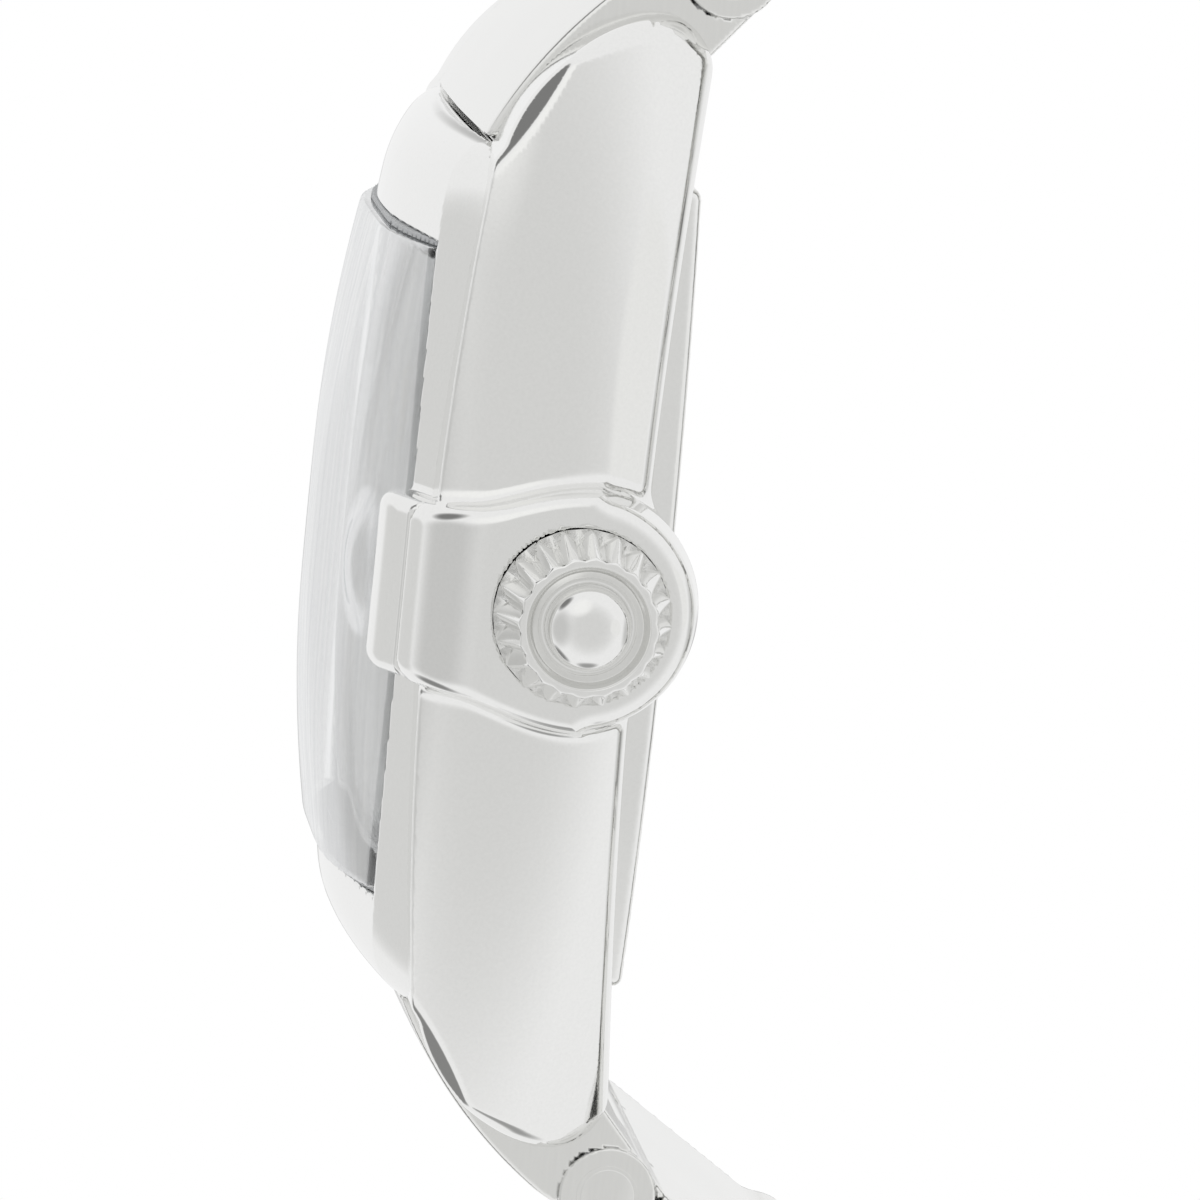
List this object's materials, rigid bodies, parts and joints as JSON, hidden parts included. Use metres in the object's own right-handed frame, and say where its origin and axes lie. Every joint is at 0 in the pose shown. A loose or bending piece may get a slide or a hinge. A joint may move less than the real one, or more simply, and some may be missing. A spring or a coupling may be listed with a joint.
{
  "type": "wrist watch",
  "caption": "Small tonneau wrist watch in polished steel with a domed crystal, guarded crown and a closed link bracelet with a folding clasp.",
  "frame": {"origin": "centre of the case back's outer face", "axes": "+Z towards 3 o'clock and the crown, -X towards 12 o'clock, -Y out of the dial; the watch lies on its 9 o'clock side and the bracelet's loop extends to +Y"},
  "size_m": [0.0546, 0.0557, 0.0342],
  "materials": {
    "case_steel": "polished, with brushed flanks",
    "bracelet_steel": "brushed plates, polished barrels",
    "small_steel": "fine turned",
    "bright_trim": "mirror polished",
    "crystal_glass": "clear, polished",
    "dial_silver": "silvered satin",
    "seal_rubber": "matt black",
    "holder_plastic": "moulded",
    "gilt_brass": "gilt",
    "copper_coil": "enamelled copper wire",
    "board_green": "solder mask",
    "date_white": "matt white"
  },
  "bodies": {
    "case": {"case_middle": "case_steel", "bezel": "case_steel", "crystal": "crystal_glass", "crystal_gasket": "seal_rubber", "case_back": "case_steel", "back_gasket": "seal_rubber", "back_screws": "small_steel", "dial": "dial_silver", "hour_markers": "bright_trim", "crown_tube": "small_steel", "movement_ring": "holder_plastic", "movement_plate": "gilt_brass", "train_bridge": "small_steel", "movement_screws": "small_steel", "battery": "small_steel", "battery_clip": "gilt_brass", "coil": "copper_coil", "stator": "small_steel", "circuit_board": "board_green", "end_piece_12": "bracelet_steel", "end_piece_6": "bracelet_steel", "end_bars": "small_steel"},
    "crown_slide": {"crown_gasket": "seal_rubber"},
    "crown": {"crown": "case_steel", "crown_stem": "small_steel"},
    "seconds": {"seconds_wheel": "gilt_brass", "second_hand": "bright_trim"},
    "intermediate": {"intermediate_wheel": "gilt_brass"},
    "rotor": {"stepper_rotor": "small_steel"},
    "third": {"third_wheel": "gilt_brass"},
    "minutes": {"centre_wheel": "gilt_brass", "minute_hand": "bright_trim"},
    "minute_wheel": {"minute_wheel": "gilt_brass"},
    "hours": {"hour_wheel": "gilt_brass", "hour_hand": "bright_trim"},
    "date": {"date_ring": "date_white"},
    "link_a1": {"link_a1": "bracelet_steel"},
    "link_a2": {"link_a2": "bracelet_steel"},
    "link_a3": {"link_a3": "bracelet_steel"},
    "link_a4": {"link_a4": "bracelet_steel"},
    "link_a5": {"link_a5": "bracelet_steel"},
    "link_a6": {"link_a6": "bracelet_steel"},
    "link_b1": {"link_b1": "bracelet_steel"},
    "link_b2": {"link_b2": "bracelet_steel"},
    "link_b3": {"link_b3": "bracelet_steel"},
    "link_b4": {"link_b4": "bracelet_steel"},
    "link_b5": {"link_b5": "bracelet_steel"},
    "link_b6": {"link_b6": "bracelet_steel"},
    "link_b7": {"link_b7": "bracelet_steel"},
    "link_b8": {"link_b8": "bracelet_steel"},
    "blade_outer": {"clasp_blade_outer": "bracelet_steel", "clasp_pin": "small_steel"},
    "blade_inner": {"clasp_blade_inner": "bracelet_steel"}
  },
  "joints": [
    {"name": "hinge_a1", "type": "hinge", "parent": "case", "child": "link_a1", "pos_m": [-0.0188, 0.0003, 0], "axis": [0, 0, 1], "range_deg": [0, 18.5]},
    {"name": "hinge_a2", "type": "hinge", "parent": "link_a1", "child": "link_a2", "pos_m": [-0.02354, 0.00723, 0], "axis": [0, 0, 1], "range_deg": [0, 18.5]},
    {"name": "hinge_a3", "type": "hinge", "parent": "link_a2", "child": "link_a3", "pos_m": [-0.02583, 0.0153, 0], "axis": [0, 0, 1], "range_deg": [0, 18.5]},
    {"name": "hinge_a4", "type": "hinge", "parent": "link_a3", "child": "link_a4", "pos_m": [-0.02543, 0.02369, 0], "axis": [0, 0, 1], "range_deg": [0, 18.5]},
    {"name": "hinge_a5", "type": "hinge", "parent": "link_a4", "child": "link_a5", "pos_m": [-0.02237, 0.0315, 0], "axis": [0, 0, 1], "range_deg": [0, 18.5]},
    {"name": "hinge_a6", "type": "hinge", "parent": "link_a5", "child": "link_a6", "pos_m": [-0.01699, 0.03794, 0], "axis": [0, 0, 1], "range_deg": [0, 18.5]},
    {"name": "hinge_b1", "type": "hinge", "parent": "case", "child": "link_b1", "pos_m": [0.0188, 0.0003, 0], "axis": [0, 0, -1], "range_deg": [0, 18.5]},
    {"name": "hinge_b2", "type": "hinge", "parent": "link_b1", "child": "link_b2", "pos_m": [0.02354, 0.00723, 0], "axis": [0, 0, -1], "range_deg": [0, 18.5]},
    {"name": "hinge_b3", "type": "hinge", "parent": "link_b2", "child": "link_b3", "pos_m": [0.02583, 0.0153, 0], "axis": [0, 0, -1], "range_deg": [0, 18.5]},
    {"name": "hinge_b4", "type": "hinge", "parent": "link_b3", "child": "link_b4", "pos_m": [0.02543, 0.02369, 0], "axis": [0, 0, -1], "range_deg": [0, 18.5]},
    {"name": "hinge_b5", "type": "hinge", "parent": "link_b4", "child": "link_b5", "pos_m": [0.02237, 0.0315, 0], "axis": [0, 0, -1], "range_deg": [0, 18.5]},
    {"name": "hinge_b6", "type": "hinge", "parent": "link_b5", "child": "link_b6", "pos_m": [0.01699, 0.03794, 0], "axis": [0, 0, -1], "range_deg": [0, 18.5]},
    {"name": "hinge_b7", "type": "hinge", "parent": "link_b6", "child": "link_b7", "pos_m": [0.00983, 0.04233, 0], "axis": [0, 0, -1], "range_deg": [0, 18.5]},
    {"name": "hinge_b8", "type": "hinge", "parent": "link_b7", "child": "link_b8", "pos_m": [0.00165, 0.04421, 0], "axis": [0, 0, -1], "range_deg": [0, 18.5]},
    {"name": "clasp_fold", "type": "hinge", "parent": "link_b8", "child": "blade_outer", "pos_m": [-0.0067, 0.04338, 0], "axis": [0, 0, -1], "range_deg": [0, 90]},
    {"name": "clasp_unfold", "type": "hinge", "parent": "blade_outer", "child": "blade_inner", "pos_m": [0.00885, 0.03992, 0], "axis": [0, 0, 1], "range_deg": [0, 180]},
    {"name": "crown_pull", "type": "slide", "parent": "case", "child": "crown_slide", "axis": [0, 0, 1], "range_m": [0, 0.0012]},
    {"name": "crown_turn", "type": "hinge", "parent": "crown_slide", "child": "crown", "pos_m": [0, -0.0031, 0.017], "axis": [0, 0, 1], "continuous": true},
    {"name": "seconds_turn", "type": "hinge", "parent": "case", "child": "seconds", "pos_m": [0, -0.003, 0], "axis": [0, 1, 0], "continuous": true},
    {"name": "intermediate_turn", "type": "hinge", "parent": "case", "child": "intermediate", "pos_m": [-0.00263, -0.003, 0], "axis": [0, 1, 0], "continuous": true},
    {"name": "rotor_turn", "type": "hinge", "parent": "case", "child": "rotor", "pos_m": [-0.00367, -0.003, -0.00182], "axis": [0, 1, 0], "continuous": true},
    {"name": "third_turn", "type": "hinge", "parent": "case", "child": "third", "pos_m": [0.00221, -0.003, 0.00128], "axis": [0, 1, 0], "continuous": true},
    {"name": "minutes_turn", "type": "hinge", "parent": "case", "child": "minutes", "pos_m": [0, -0.0036, 0], "axis": [0, 1, 0], "continuous": true},
    {"name": "minute_wheel_turn", "type": "hinge", "parent": "case", "child": "minute_wheel", "pos_m": [-0.0012, -0.005, 0.00208], "axis": [0, 1, 0], "continuous": true},
    {"name": "hours_turn", "type": "hinge", "parent": "case", "child": "hours", "pos_m": [0, -0.0051, 0], "axis": [0, 1, 0], "continuous": true},
    {"name": "date_turn", "type": "hinge", "parent": "case", "child": "date", "pos_m": [0, -0.0049, 0], "axis": [0, 1, 0], "continuous": true}
  ],
  "couplings": [
    {"joint": "clasp_unfold", "follows": "clasp_fold", "ratio": 2},
    {"joint": "intermediate_turn", "follows": "seconds_turn", "ratio": -5},
    {"joint": "rotor_turn", "follows": "seconds_turn", "ratio": 30},
    {"joint": "third_turn", "follows": "seconds_turn", "ratio": -0.13333},
    {"joint": "minutes_turn", "follows": "seconds_turn", "ratio": 0.016667},
    {"joint": "minute_wheel_turn", "follows": "seconds_turn", "ratio": -0.0055556},
    {"joint": "hours_turn", "follows": "seconds_turn", "ratio": 0.0013889}
  ]
}
